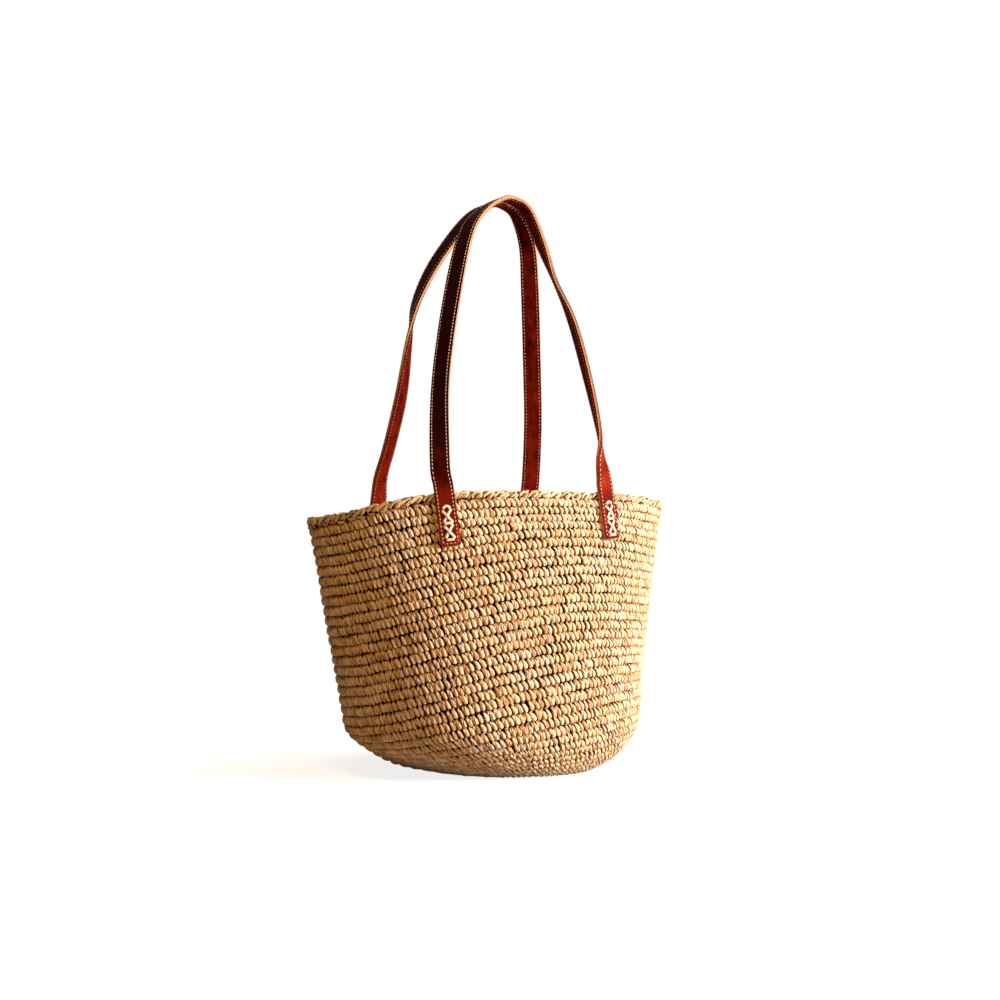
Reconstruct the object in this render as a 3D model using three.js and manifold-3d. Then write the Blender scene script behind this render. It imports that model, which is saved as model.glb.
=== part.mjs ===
// Round crocheted raffia bag with two long leather handles laced to its wall.
// Millimetres, +Z up. The bag stands on Z = 0 with its front towards -Y.
import * as THREE from 'three';
import { mergeVertices } from 'three/addons/utils/BufferGeometryUtils.js';
import Module from 'manifold-3d';

// Raffia body
const baseRadius = 136;         // round body at the top of the turned bottom edge
const floorRadius = 65;         // flat part that the bag stands on
const floorShift = { x: 21.5, y: -8 };           // the soft bottom sags to one side
const cornerRise = 48;          // height at which the turned edge becomes the wall
const cornerSlope = 1.5;        // above 1 the bottom slopes away from the floor before it turns up
const rimHalfWidth = 170;       // the rim is drawn into an oval by the handles
const rimHalfDepth = 113;
const wallHeight = 253.5;       // rim height at the middle of the front and back
const leftDip = 26.5;           // how much lower the rim runs at its left end
const rightDip = 7;
const wallThickness = 7;
const rimEdgeHeight = 8;        // chain edging along the rim
const rimEdgeRound = 2.5;

// Lacing
const cordDiameter = 2.4;
const laceRows = 3;
const laceRowPitch = 13.5;
const laceEdgeInset = 5.2;      // hole centre from the strap's edge

// Leather straps
const strapWidth = 17.5;
const outerLeather = 1.8;
const liningLeather = 1.5;
const tabCornerRadius = 2;
const hingeRise = 6;            // the strap bends this far above the rim
const footRise = 20;            // straight stretch above the bend
const handleHeight = 280.5;     // top of a handle above the rim
const handleSpacing = 5;        // gap between the two handles where they meet at the top
const archFlat = 11;            // level stretch at the very top
const archTurn = THREE.MathUtils.degToRad(10);   // the tops are turned against the bag

// A tab's length below the rim, its tilt along the wall and its first lacing row below the rim.
const slackTab = { length: 48.5, tilt: THREE.MathUtils.degToRad(1.5), laceInset: 15 };
const tautTab = { length: 43, tilt: THREE.MathUtils.degToRad(12), laceInset: 11.5 };

// Soft straps hang by hand-set knots between foot and top: the share of the way, the bow to the right
// of the straight line and the share of the tab's facing that is left there. footFacing is that share
// at the end of the straight stretch.
const frontHandle = {
  face: -1,                     // -1 stands at the front, 1 at the back
  lean: 16,                     // top of the handle to the right of the bag's middle
  tabSpacing: 75,               // middle of a tab from the middle of the bag, along X
  left: {
    tab: slackTab,
    footFacing: 0.9,
    knots: [[0.3, -21, 0.55], [0.5, -28, 0.5], [0.73, -32, 0.5], [0.885, -30.5, 0.35], [0.96, -20, 0.1]],
  },
  right: {
    tab: tautTab,
    footFacing: 0.75,
    knots: [
      [0.18, 12, 0.37], [0.36, 18.5, 0.2], [0.56, 22.5, 0.2], [0.71, 19.5, 0.36], [0.835, 18.5, 0.1],
      [0.96, 15.5, 0],
    ],
  },
};
const backHandle = {
  face: 1,
  lean: 20,
  tabSpacing: 77,
  left: {
    tab: tautTab,
    footFacing: 0.85,
    knots: [
      [0.18, -10, 0.79], [0.355, -19, 0.76], [0.54, -33, 0.48], [0.66, -41, 0.07], [0.78, -39.5, -0.15],
      [0.895, -30.5, -0.2], [0.97, -20.5, -0.08],
    ],
  },
  right: {
    tab: slackTab,
    footFacing: 1,
    knots: [[0.27, 12.5, 0.85], [0.505, 18, 0.8], [0.72, 22.5, 0.75], [0.875, 24, 0.5], [0.97, 16, 0.1]],
  },
};

// Clearances
const seatGap = 0.3;            // between pieces that lie against each other
const cordClearance = 0.3;      // round the cord in its holes

// Facets
const roundSegments = 64;
const cordSides = 8;
const knotSteps = 4;            // steps of a strap between two knots

const strapThickness = liningLeather + seatGap + outerLeather;
const layers = {
  lining: [0, liningLeather],
  outer: [liningLeather + seatGap, strapThickness],
};

const raffia = new THREE.MeshStandardMaterial({ color: 0xc89c66, roughness: 0.85, metalness: 0 });
const leather = new THREE.MeshStandardMaterial({ color: 0x6b1d10, roughness: 0.45, metalness: 0 });
const innerLeather = new THREE.MeshStandardMaterial({ color: 0x74301a, roughness: 0.6, metalness: 0 });
const waxedCord = new THREE.MeshStandardMaterial({ color: 0xeadcb8, roughness: 0.65, metalness: 0 });

const wasm = await Module();
wasm.setup();

function toSolid(geometry) {
  const bare = geometry.clone();
  bare.deleteAttribute('normal');
  bare.deleteAttribute('uv');
  const merged = mergeVertices(bare);
  return new wasm.Manifold(new wasm.Mesh({
    numProp: 3,
    vertProperties: new Float32Array(merged.attributes.position.array),
    triVerts: new Uint32Array(merged.index.array),
  }));
}

function toGeometry(solid) {
  const mesh = solid.getMesh();
  const geometry = new THREE.BufferGeometry();
  geometry.setAttribute('position', new THREE.BufferAttribute(mesh.vertProperties, mesh.numProp));
  geometry.setIndex(new THREE.BufferAttribute(mesh.triVerts, 1));
  geometry.computeVertexNormals();
  return geometry;
}

// Skins a row of equal rings. The row closes on itself, or its two ends are capped. The two halves
// of a capped row share their diagonals, so that layers stay parallel where a strap twists.
function loft(rings, closesOnItself) {
  const around = rings[0].length;
  const indices = [];
  const last = closesOnItself ? rings.length : rings.length - 1;
  for (let row = 0; row < last; row += 1) {
    const next = (row + 1) % rings.length;
    for (let i = 0; i < around; i += 1) {
      const j = (i + 1) % around;
      const [a, b, c, d] = [row * around + i, row * around + j, next * around + j, next * around + i];
      const otherDiagonal = !closesOnItself && i >= around / 2;
      indices.push(...(otherDiagonal ? [a, b, d, b, c, d] : [a, b, c, a, c, d]));
    }
  }
  if (!closesOnItself) {
    const end = (rings.length - 1) * around;
    for (let i = 1; i < around - 1; i += 1) {
      indices.push(0, i + 1, i, end, end + i, end + i + 1);
    }
  }
  const geometry = new THREE.BufferGeometry().setFromPoints(rings.flat());
  geometry.setIndex(indices);
  geometry.computeVertexNormals();
  return geometry;
}

// Raffia body

function rimLevel(angle) {
  const dip = Math.cos(angle) < 0 ? leftDip : rightDip;
  return wallHeight - dip * Math.abs(Math.cos(angle)) ** 3;
}

// Point on the straight part of the wall, a drop below the rim and an inset in from its outside.
function wallPoint(angle, drop, inset) {
  const share = 1 - drop / (rimLevel(angle) - cornerRise);
  const halfWidth = THREE.MathUtils.lerp(baseRadius, rimHalfWidth, share) - inset;
  const halfDepth = THREE.MathUtils.lerp(baseRadius, rimHalfDepth, share) - inset;
  return new THREE.Vector3(
    halfWidth * Math.cos(angle), halfDepth * Math.sin(angle), rimLevel(angle) - drop);
}

// Point on the turned bottom edge, where turn runs from the floor (0) to the wall (a right angle).
function cornerPoint(angle, turn, inset) {
  const [x, y] = [Math.cos(angle), Math.sin(angle)];
  const floor = new THREE.Vector3(floorShift.x + floorRadius * x, floorShift.y + floorRadius * y, 0);
  const wall = new THREE.Vector3((baseRadius - inset) * x, (baseRadius - inset) * y, 0);
  const point = floor.lerp(wall, Math.sin(turn) ** cornerSlope);
  return point.setZ(inset + (cornerRise - inset) * (1 - Math.cos(turn)));
}

function ringOf(pointAt) {
  const angles = Array.from({ length: roundSegments }, (_, i) => (i / roundSegments) * 2 * Math.PI);
  return angles.map(pointAt);
}

function raffiaWall() {
  const cornerSteps = 6;
  const wallSteps = 5;
  const edge = rimEdgeHeight + seatGap;
  const skin = (inset) => {
    const rings = [];
    for (let i = 0; i <= cornerSteps; i += 1) {
      rings.push(ringOf((angle) => cornerPoint(angle, (i / cornerSteps) * Math.PI / 2, inset)));
    }
    for (let i = 1; i <= wallSteps; i += 1) {
      rings.push(ringOf((angle) => {
        const full = rimLevel(angle) - cornerRise;
        return wallPoint(angle, full - (full - edge) * (i / wallSteps), inset);
      }));
    }
    return rings;
  };
  return loft([...skin(0), ...skin(wallThickness).reverse()], true);
}

function raffiaBase() {
  const radius = floorRadius - seatGap;
  const disc = new THREE.CylinderGeometry(radius, radius, wallThickness, roundSegments);
  disc.rotateX(Math.PI / 2);
  disc.rotateZ(Math.PI / 2);
  disc.translate(floorShift.x, floorShift.y, wallThickness / 2);
  return disc;
}

function raffiaRim() {
  const [deep, tall, cut] = [wallThickness, rimEdgeHeight, rimEdgeRound];
  const section = [
    [0, tall], [0, cut], [cut, 0], [deep - cut, 0], [deep, cut], [deep, tall],
  ];
  return loft(section.map(([inset, drop]) => ringOf((angle) => wallPoint(angle, drop, inset))), true);
}

// Straps

// Frame of a tab: its origin is on the wall at the rim, x across, y up the tab and z out of the wall.
function tabFrame({ face, tabSpacing }, side, { length, tilt }) {
  const reach = Math.acos(tabSpacing / rimHalfWidth);
  const angle = face * (side > 0 ? reach : Math.PI - reach);
  const nudge = 0.001;
  const along = (at) => wallPoint(at + nudge, length / 2, 0).sub(wallPoint(at - nudge, length / 2, 0));
  const turned = (2 * nudge * length * Math.sin(tilt)) / along(angle).length();
  const origin = wallPoint(angle, 0, 0);
  const up = origin.clone().sub(wallPoint(angle + turned, length * Math.cos(tilt), 0)).normalize();
  const out = along(angle + turned / 2).cross(up).normalize();
  return { origin, up, out, across: up.clone().cross(out) };
}

function lacePositions({ laceInset }) {
  const column = strapWidth / 2 - laceEdgeInset;
  const rows = Array.from({ length: laceRows }, (_, i) => -laceInset - i * laceRowPitch);
  return { column, rows };
}

function tabPlate(tab, [near, far]) {
  const half = strapWidth / 2;
  const round = tabCornerRadius;
  const top = hingeRise - seatGap;
  const shape = new THREE.Shape();
  shape.moveTo(-half, top);
  shape.lineTo(-half, round - tab.length);
  shape.absarc(round - half, round - tab.length, round, Math.PI, 1.5 * Math.PI, false);
  shape.absarc(half - round, round - tab.length, round, 1.5 * Math.PI, 2 * Math.PI, false);
  shape.lineTo(half, top);
  const { column, rows } = lacePositions(tab);
  for (const row of rows) {
    for (const x of [-column, column]) {
      shape.holes.push(new THREE.Path().absarc(x, row, cordDiameter / 2 + cordClearance, 0, 2 * Math.PI));
    }
  }
  const plate = new THREE.ExtrudeGeometry(
    shape, { depth: far - near, bevelEnabled: false, curveSegments: cordSides / 2 });
  plate.translate(0, 0, seatGap + near);
  return plate;
}

function cordRun(from, to, radius) {
  const along = to.clone().sub(from);
  const run = new THREE.CapsuleGeometry(radius, along.length(), 1, cordSides);
  run.applyQuaternion(new THREE.Quaternion().setFromUnitVectors(
    new THREE.Vector3(0, 1, 0), along.normalize()));
  const middle = from.clone().add(to).multiplyScalar(0.5);
  return toSolid(run.translate(middle.x, middle.y, middle.z));
}

// One cord sewn through the tab and the wall: a bar at each row, crosses between the rows,
// a leg through each hole and a bar behind the wall.
function lacing(tab) {
  const radius = cordDiameter / 2;
  const { column, rows } = lacePositions(tab);
  const front = seatGap + strapThickness + seatGap + radius;
  const behind = -(wallThickness + 2 * seatGap + radius);
  const at = (x, row, z) => new THREE.Vector3(x, rows[row], z);
  const runs = [];
  for (let row = 0; row < laceRows; row += 1) {
    runs.push(cordRun(at(-column, row, front), at(column, row, front), radius));
    runs.push(cordRun(at(-column, row, behind), at(column, row, behind), radius));
    for (const x of [-column, column]) {
      runs.push(cordRun(at(x, row, front), at(x, row, behind), radius));
      if (row + 1 < laceRows) {
        runs.push(cordRun(at(x, row, front), at(-x, row + 1, front), radius));
      }
    }
  }
  return runs.reduce((joined, run) => joined.add(run));
}

// Stations along a handle from its left tab over the top to its right tab. The lining's inner face
// runs through them.
function handleStations(handle) {
  const across = new THREE.Vector3(Math.cos(archTurn), Math.sin(archTurn), 0);
  const rod = new THREE.Vector3(-Math.sin(archTurn), Math.cos(archTurn), 0);
  const top = new THREE.Vector3(handle.lean, 0, wallHeight + handleHeight - strapThickness);
  top.addScaledVector(rod, handle.face * (strapWidth + handleSpacing) / 2);
  const leg = (side, { tab, footFacing, knots }) => {
    const { origin, up, out } = tabFrame(handle, side, tab);
    const foot = origin.clone().addScaledVector(up, hingeRise + seatGap).addScaledVector(out, seatGap);
    const archNormal = rod.clone().cross(up).multiplyScalar(side).normalize();
    const turn = Math.atan2(archNormal.clone().cross(out).dot(up), archNormal.dot(out)) * -side;
    const hung = knots.map(([share, bow, facing]) => {
      const point = foot.clone().lerp(top, share);
      return { point: point.setX(point.x + bow), turn: turn * facing };
    });
    return [
      { point: foot, turn },
      { point: foot.clone().addScaledVector(up, footRise), turn: turn * footFacing },
      ...hung,
      { point: top.clone().addScaledVector(across, side * archFlat / 2), turn: 0 },
    ];
  };
  const left = leg(-1, handle.left);
  const knots = [...left, ...leg(1, handle.right).reverse()];
  const splineThrough = (points) => new THREE.CatmullRomCurve3(points, false, 'catmullrom');
  const line = splineThrough(knots.map(({ point }) => point));
  const turns = splineThrough(knots.map((knot) => new THREE.Vector3(knot.turn, 0, 0)));
  const spans = knots.length - 1;
  const [leftHead, rightHead] = [left.length - 1, left.length];
  const stations = [];
  for (let step = 0; step <= spans * knotSteps; step += 1) {
    const knot = step / knotSteps;
    if (knot > leftHead && knot < rightHead) continue;
    const level = knot === leftHead || knot === rightHead;
    const travel = level ? across.clone() : line.getTangent(knot / spans);
    const normal = travel.clone().cross(rod).normalize();
    normal.applyAxisAngle(travel, turns.getPoint(knot / spans).x);
    const width = travel.cross(normal).multiplyScalar(strapWidth / 2);
    stations.push({ point: line.getPoint(knot / spans), normal, width });
  }
  return stations;
}

function ribbon(stations, [near, far]) {
  const corners = [[-1, far], [1, far], [1, near], [-1, near]];
  const rings = stations.map(({ point, normal, width }) => corners.map(([side, depth]) => (
    point.clone().addScaledVector(width, side).addScaledVector(normal, depth))));
  return loft(rings, false);
}

// Assembly

const bag = new THREE.Group();

function addMesh(parent, name, geometry, material) {
  const mesh = new THREE.Mesh(geometry, material);
  mesh.name = name;
  parent.add(mesh);
}

function placeOf({ origin, up, out, across }) {
  return new THREE.Matrix4().makeBasis(across, up, out).setPosition(origin);
}

function addHandle(name, handle) {
  const stations = handleStations(handle);
  addMesh(bag, `${name}_handle_outer`, ribbon(stations, layers.outer), leather);
  addMesh(bag, `${name}_handle_lining`, ribbon(stations, layers.lining), innerLeather);
  for (const [legName, side] of [['left', -1], ['right', 1]]) {
    const { tab } = handle[legName];
    const end = new THREE.Group();
    end.applyMatrix4(placeOf(tabFrame(handle, side, tab)));
    addMesh(end, `${name}_${legName}_tab_outer`, tabPlate(tab, layers.outer), leather);
    addMesh(end, `${name}_${legName}_tab_lining`, tabPlate(tab, layers.lining), innerLeather);
    addMesh(end, `${name}_${legName}_lacing`, toGeometry(lacing(tab)), waxedCord);
    bag.add(end);
  }
}

addHandle('front', frontHandle);
addHandle('back', backHandle);

// The wall opens for every leg of the lacing.
function lacedWall() {
  const bore = new THREE.CylinderGeometry(
    cordDiameter / 2 + cordClearance, cordDiameter / 2 + cordClearance, 4 * wallThickness, cordSides);
  bore.rotateX(Math.PI / 2);
  let wall = toSolid(raffiaWall());
  for (const handle of [frontHandle, backHandle]) {
    for (const [{ tab }, side] of [[handle.left, -1], [handle.right, 1]]) {
      const place = placeOf(tabFrame(handle, side, tab));
      const { column, rows } = lacePositions(tab);
      for (const row of rows) {
        for (const x of [-column, column]) {
          wall = wall.subtract(toSolid(bore.clone().translate(x, row, 0).applyMatrix4(place)));
        }
      }
    }
  }
  return toGeometry(wall);
}

addMesh(bag, 'raffia_wall', lacedWall(), raffia);
addMesh(bag, 'raffia_base', raffiaBase(), raffia);
addMesh(bag, 'raffia_rim', raffiaRim(), raffia);

export default bag;
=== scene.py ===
import math
import bpy
import numpy as np
from mathutils import Matrix, Vector


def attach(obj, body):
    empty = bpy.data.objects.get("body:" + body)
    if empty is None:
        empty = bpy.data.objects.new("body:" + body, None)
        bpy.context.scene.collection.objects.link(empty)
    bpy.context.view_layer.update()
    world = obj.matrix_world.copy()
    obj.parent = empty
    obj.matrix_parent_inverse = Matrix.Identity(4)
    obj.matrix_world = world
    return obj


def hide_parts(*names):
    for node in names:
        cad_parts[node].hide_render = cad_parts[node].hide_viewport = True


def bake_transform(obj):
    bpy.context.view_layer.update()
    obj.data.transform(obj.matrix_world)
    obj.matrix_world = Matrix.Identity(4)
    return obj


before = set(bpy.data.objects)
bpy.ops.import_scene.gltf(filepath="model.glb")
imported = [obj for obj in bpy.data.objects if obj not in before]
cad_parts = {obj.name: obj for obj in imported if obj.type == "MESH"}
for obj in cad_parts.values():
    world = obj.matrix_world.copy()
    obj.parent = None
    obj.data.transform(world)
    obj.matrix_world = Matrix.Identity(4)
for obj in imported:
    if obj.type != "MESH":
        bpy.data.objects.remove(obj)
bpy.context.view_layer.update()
mm = 0.001  # shapes are worked out in millimetres and become metres in addPiece
rng = np.random.default_rng(11)
print("frame loaded:", len(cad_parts), "nodes")


def newObject(name, data):
    made = bpy.data.objects.new(name, data)
    bpy.context.scene.collection.objects.link(made)
    return made


# Camera

photoView = {
    "place": (-544.8, -1580.3, 163.9),
    "aim": (12.1, 0.0, 250.3),
    "rollDegrees": -0.53,  # the bag hangs with its right side a touch high
    "lens": 64.46,
}


def addCamera(settings):
    data = bpy.data.cameras.new("photoCamera")
    data.lens = settings["lens"]
    data.clip_start = 0.01
    data.clip_end = 100
    camera = newObject("photoCamera", data)
    place = Vector(settings["place"]) * mm
    facing = (Vector(settings["aim"]) * mm - place).to_track_quat("-Z", "Y").to_matrix().to_4x4()
    roll = Matrix.Rotation(math.radians(settings["rollDegrees"]), 4, "Z")
    camera.matrix_world = Matrix.Translation(place) @ facing @ roll
    bpy.context.scene.camera = camera


addCamera(photoView)
print("camera set")


# Shader maths

class Wire:  # one shader socket; sums on it add nodes to its tree
    def __init__(self, tree, socket=None):
        self.tree = tree
        self.socket = socket

    def add(self, kind, settings=None, inputs=None, output=0):
        node = self.tree.nodes.new("ShaderNode" + kind)
        for key, value in (settings or {}).items():
            if key == "stops":
                setStops(node.color_ramp, value)
            else:
                setattr(node, key, value)
        feed(node, inputs or {})
        return Wire(self.tree, node.outputs[output])

    def sum(self, operation, first, second):
        return self.add("Math", {"operation": operation}, {0: first, 1: second})

    def __add__(self, other):
        return self.sum("ADD", self, other)

    __radd__ = __add__

    def __sub__(self, other):
        return self.sum("SUBTRACT", self, other)

    def __rsub__(self, other):
        return self.sum("SUBTRACT", other, self)

    def __mul__(self, other):
        return self.sum("MULTIPLY", self, other)

    __rmul__ = __mul__

    def mix(self, factor, first, second):  # by the node's colour sockets
        return self.add("Mix", {"data_type": "RGBA"}, {0: factor, 6: first, 7: second}, 2)

    def scaled(self, factors):
        return self.add("VectorMath", {"operation": "MULTIPLY"}, {0: self, 1: factors})

    def between(self, low, high):  # 0 at low, 1 at high, eased
        settings = {"interpolation_type": "SMOOTHSTEP"}
        return self.add("MapRange", settings, {0: self, 1: low, 2: high, 3: 0.0, 4: 1.0})

    def noise(self, scale, detail=2.0, roughness=0.5):
        inputs = {"Vector": self, "Scale": scale, "Detail": detail, "Roughness": roughness}
        return self.add("TexNoise", {}, inputs)

    def ramp(self, stops):
        return self.add("ValToRGB", {"stops": stops}, {0: self})


def setStops(ramp, stops):
    while len(ramp.elements) < len(stops):
        ramp.elements.new(0.5)
    for element, (place, colour) in zip(ramp.elements, stops):
        element.position = place
        element.color = colour


def tint(red, green, blue):  # a screen colour, 0 to 255, as the shader takes it
    shares = [value / 255 for value in (red, green, blue)]
    return (*[s / 12.92 if s <= 0.04045 else ((s + 0.055) / 1.055) ** 2.4 for s in shares], 1.0)


def newFinish(name):
    material = bpy.data.materials.new(name)
    material.use_nodes = True
    return material, Wire(material.node_tree), material.node_tree.nodes["Principled BSDF"]


def feed(node, inputs):  # each socket gets a value, or a wire into it
    for key, value in inputs.items():
        if isinstance(value, Wire):
            node.id_data.links.new(value.socket, node.inputs[key])
        else:
            node.inputs[key].default_value = value


def attributeOf(wire, name, output=2):  # output 1 is a vector, 2 a number
    return wire.add("Attribute", {"attribute_name": name}, {}, output)


def strandValues(wire):
    return attributeOf(wire, "fibre", 1), attributeOf(wire, "tone"), attributeOf(wire, "tuck")


# Mesh helpers

def unit(vectors):
    return vectors / np.maximum(np.linalg.norm(vectors, axis=-1, keepdims=True), 1e-9)


def eased(start, end, values):
    share = np.clip((values - start) / (end - start), 0, 1)
    return share * share * (3 - 2 * share)


def distances(points):  # from the start of each line
    steps = np.linalg.norm(np.diff(points, axis=-2), axis=-1)
    return np.concatenate([0 * steps[..., :1], steps.cumsum(-1)], -1)


def lookUp(at, far, rows):  # rows of three numbers, read at any distance
    return np.stack([np.interp(at, far, rows[:, i]) for i in range(3)], -1)


def addPiece(name, parts, finish):
    # parts are dictionaries of points, corners, sizes, values and bakePlaces, joined into one mesh
    offsets = np.cumsum([0] + [len(part["points"]) for part in parts])
    points = np.concatenate([part["points"] for part in parts]) * mm
    corners = np.concatenate([part["corners"] + shift for part, shift in zip(parts, offsets)])
    sizes = np.concatenate([part["sizes"] for part in parts])
    mesh = bpy.data.meshes.new(name)
    mesh.vertices.add(len(points))
    mesh.vertices.foreach_set("co", points.astype(np.float32).ravel())
    mesh.loops.add(len(corners))
    mesh.loops.foreach_set("vertex_index", corners.astype(np.int32))
    mesh.polygons.add(len(sizes))
    mesh.polygons.foreach_set("loop_start", (np.cumsum(sizes) - sizes).astype(np.int32))
    mesh.polygons.foreach_set("use_smooth", np.ones(len(sizes), bool))
    mesh.update(calc_edges=True)
    for key in parts[0]["values"]:
        value = np.concatenate([part["values"][key] for part in parts]).astype(np.float32)
        form, field = ("FLOAT_VECTOR", "vector") if value.ndim == 2 else ("FLOAT", "value")
        mesh.attributes.new(key, form, "POINT").data.foreach_set(field, value.ravel())
    if "bakePlaces" in parts[0]:
        addBakeMap(mesh, parts)
    mesh.materials.append(finish)
    return newObject(name, mesh)


def addBakeMap(mesh, parts):
    # every strand gets its own cell of a square sheet
    margin = 0.06  # left free round each cell
    counts = [part["strands"] for part in parts]
    perSide = math.ceil(math.sqrt(sum(counts)))
    starts = np.cumsum([0] + counts)
    cells = np.concatenate([part["strandOf"] + shift for part, shift in zip(parts, starts)])
    inside = np.concatenate([part["bakePlaces"] for part in parts])
    corner = np.stack([cells % perSide, cells // perSide], 1)
    places = (corner + margin + (1 - 2 * margin) * inside) / perSide
    layer = mesh.uv_layers.new(name="OFBake")
    layer.data.foreach_set("uv", places.astype(np.float32).ravel())


def strands(paths, normals, halfWide, halfThick, sides, tone, tuck, flank=0.0):
    # tubes along many paths at once, wide across the surface and thin out of it; the painted shade of a
    # stretch grows with how far it is out of sight, and flank is how much of that painted shade the underside
    # of every tube gets
    count, steps = paths.shape[:2]
    along = unit(np.gradient(paths, axis=1))
    side = unit(np.cross(along, normals))
    lift = np.cross(side, along)
    turn = np.arange(sides) / sides * 2 * np.pi - np.pi / 2  # starts on the hidden face
    ring = side[:, :, None] * (np.cos(turn) * halfWide[:, :, None])[..., None]
    ring = ring + lift[:, :, None] * (np.sin(turn) * halfThick[:, :, None])[..., None]
    points = (paths[:, :, None] + ring).reshape(-1, 3)

    index = np.arange(count * steps * sides).reshape(count, steps, sides)
    nextSide = np.roll(index, -1, 2)
    quads = np.stack([index[:, :-1], index[:, 1:], nextSide[:, 1:], nextSide[:, :-1]], -1)
    corners = np.concatenate([quads.reshape(count, -1), index[:, 0], index[:, -1, ::-1]], 1)
    sizes = np.tile([4] * ((steps - 1) * sides) + [sides] * 2, count)

    length = distances(paths)
    shift = rng.uniform(0, 400, (count, 1, 1))  # no two strands show the same fibres
    girth = (halfWide + halfThick)[:, :, None] * np.pi * (np.arange(sides) / sides)
    fibre = np.stack(np.broadcast_arrays(length[:, :, None] + shift, girth, shift), -1)
    spread = np.ones((count, steps, sides))
    shaded = eased(0.66, -0.4, np.sin(turn))  # painted shade: 0 on the crown of a tube, 1 on its underside
    values = {
        "fibre": fibre.reshape(-1, 3),
        "tone": (spread * tone[:, None, None]).ravel(),
        "tuck": (1 - (1 - tuck[:, :, None]) * (1 - flank * shaded)).ravel(),
    }

    row, column = np.meshgrid(np.arange(steps - 1), np.arange(sides), indexing="ij")
    ends = [(0, 0), (1, 0), (1, 1), (0, 1)]
    tubeShare = 0.88  # of a cell's width; the two end discs lie beside the tube
    quadPlaces = np.stack([np.stack([(row + r) / (steps - 1) * tubeShare, (column + c) / sides], -1)
                           for r, c in ends], 2).reshape(-1, 2)
    disc = np.stack([0.95 + 0.03 * np.cos(turn), 0.25 + 0.2 * np.sin(turn)], -1)
    places = np.concatenate([quadPlaces, disc, disc[::-1] + (0, 0.5)])
    return {
        "points": points,
        "corners": corners.ravel(),
        "sizes": sizes,
        "values": values,
        "strands": count,
        "strandOf": np.repeat(np.arange(count), corners.shape[1]),
        "bakePlaces": np.tile(places, (count, 1)),
    }


# Shape of the raffia body, as the solids have it

bag = {
    "baseRadius": 136, "floorRadius": 65, "floorShift": (21.5, -8), "cornerRise": 48, "cornerSlope": 1.5,
    "rimHalfWidth": 170, "rimHalfDepth": 113, "wallHeight": 253.5, "leftDip": 26.5, "rightDip": 7,
    "rounds": 42,  # crochet rounds from the rim to the middle of the base
    "roundsCentre": (42, -12),  # the first round lies off the middle, so rounds run aslant low down
    "crest": (1.0, 280, 56),  # the rounds run higher at the front: by how many, angle and reach in degrees
    "crestRounds": ((0, 6), (32, 16)),  # where that grows, and where it ends and starts to fade
    "meridians": 720, "perRound": 12, "wallSteps": 160, "cornerSteps": 80,
    "lumps": 0.9,  # how uneven the hand-worked wall is
    "lumpRounds": ((0, 6), (34, 28)),
    "edgeDrop": ((-7.5, 140, 30), (6.0, 178, 42)),  # soft edge: millimetres up, angle and reach in degrees
    "bulges": ((4.5, 158, 34, 28, 5), (2.5, 335, 30, 25, 5)),  # out, angle, reach, round and its reach
}


def rimLevel(angle):
    dip = np.where(np.cos(angle) < 0, bag["leftDip"], bag["rightDip"])
    return bag["wallHeight"] - dip * np.abs(np.cos(angle)) ** 3


def wallPoint(angle, drop):
    rim = rimLevel(angle)
    share = np.clip(1 - drop / (rim - bag["cornerRise"]), 0, 1)
    halfWidth = bag["baseRadius"] + (bag["rimHalfWidth"] - bag["baseRadius"]) * share
    halfDepth = bag["baseRadius"] + (bag["rimHalfDepth"] - bag["baseRadius"]) * share
    return np.stack([halfWidth * np.cos(angle), halfDepth * np.sin(angle), rim - drop], -1)


def hump(values, at, reach):  # 1 at the middle, 0 from the reach on
    return np.cos(np.clip(np.abs(values - at) / reach, 0, 1) * np.pi / 2) ** 2


def bodySurface():
    # points from the rim down to the middle of the base, spaced evenly along every meridian
    angle = np.linspace(0, 2 * np.pi, bag["meridians"], endpoint=False)[:, None]
    wall = wallPoint(angle, (rimLevel(angle) - bag["cornerRise"]) * np.linspace(0, 1, bag["wallSteps"]))
    for up, at, reach in bag["edgeDrop"]:
        fading = np.linspace(1, 0, bag["wallSteps"]) ** 2
        wall[..., 2] += up * hump(np.degrees(angle), at, reach) * fading
    spoke = np.stack([np.cos(angle), np.sin(angle), 0 * angle], -1)
    floorEdge = spoke * bag["floorRadius"] + (*bag["floorShift"], 0)
    turn = np.linspace(np.pi / 2, 0, bag["cornerSteps"])[1:]
    reach = (np.sin(turn) ** bag["cornerSlope"])[:, None]
    corner = floorEdge + (spoke * bag["baseRadius"] - floorEdge) * reach
    corner[..., 2] = bag["cornerRise"] * (1 - np.cos(turn))
    inward = np.linspace(0, 1, bag["cornerSteps"])[1:, None]
    floor = floorEdge + (np.array((*bag["roundsCentre"], 0)) - floorEdge) * inward
    raw = np.concatenate([wall, corner, floor], 1)
    even = np.linspace(0, 1, bag["rounds"] * bag["perRound"] + 1)
    return np.stack([lookUp(even * far[-1], far, line) for far, line in zip(distances(raw), raw)])


def surfaceNormals(surface):
    around = np.roll(surface, -1, 0) - np.roll(surface, 1, 0)
    down = np.gradient(surface, axis=1)
    normals = unit(np.cross(around, -down))
    normals[:, -6:] = (0, 0, -1)  # the middle of the base faces down
    return normals


surface = bodySurface()
surfaceOut = surfaceNormals(surface)


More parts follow.
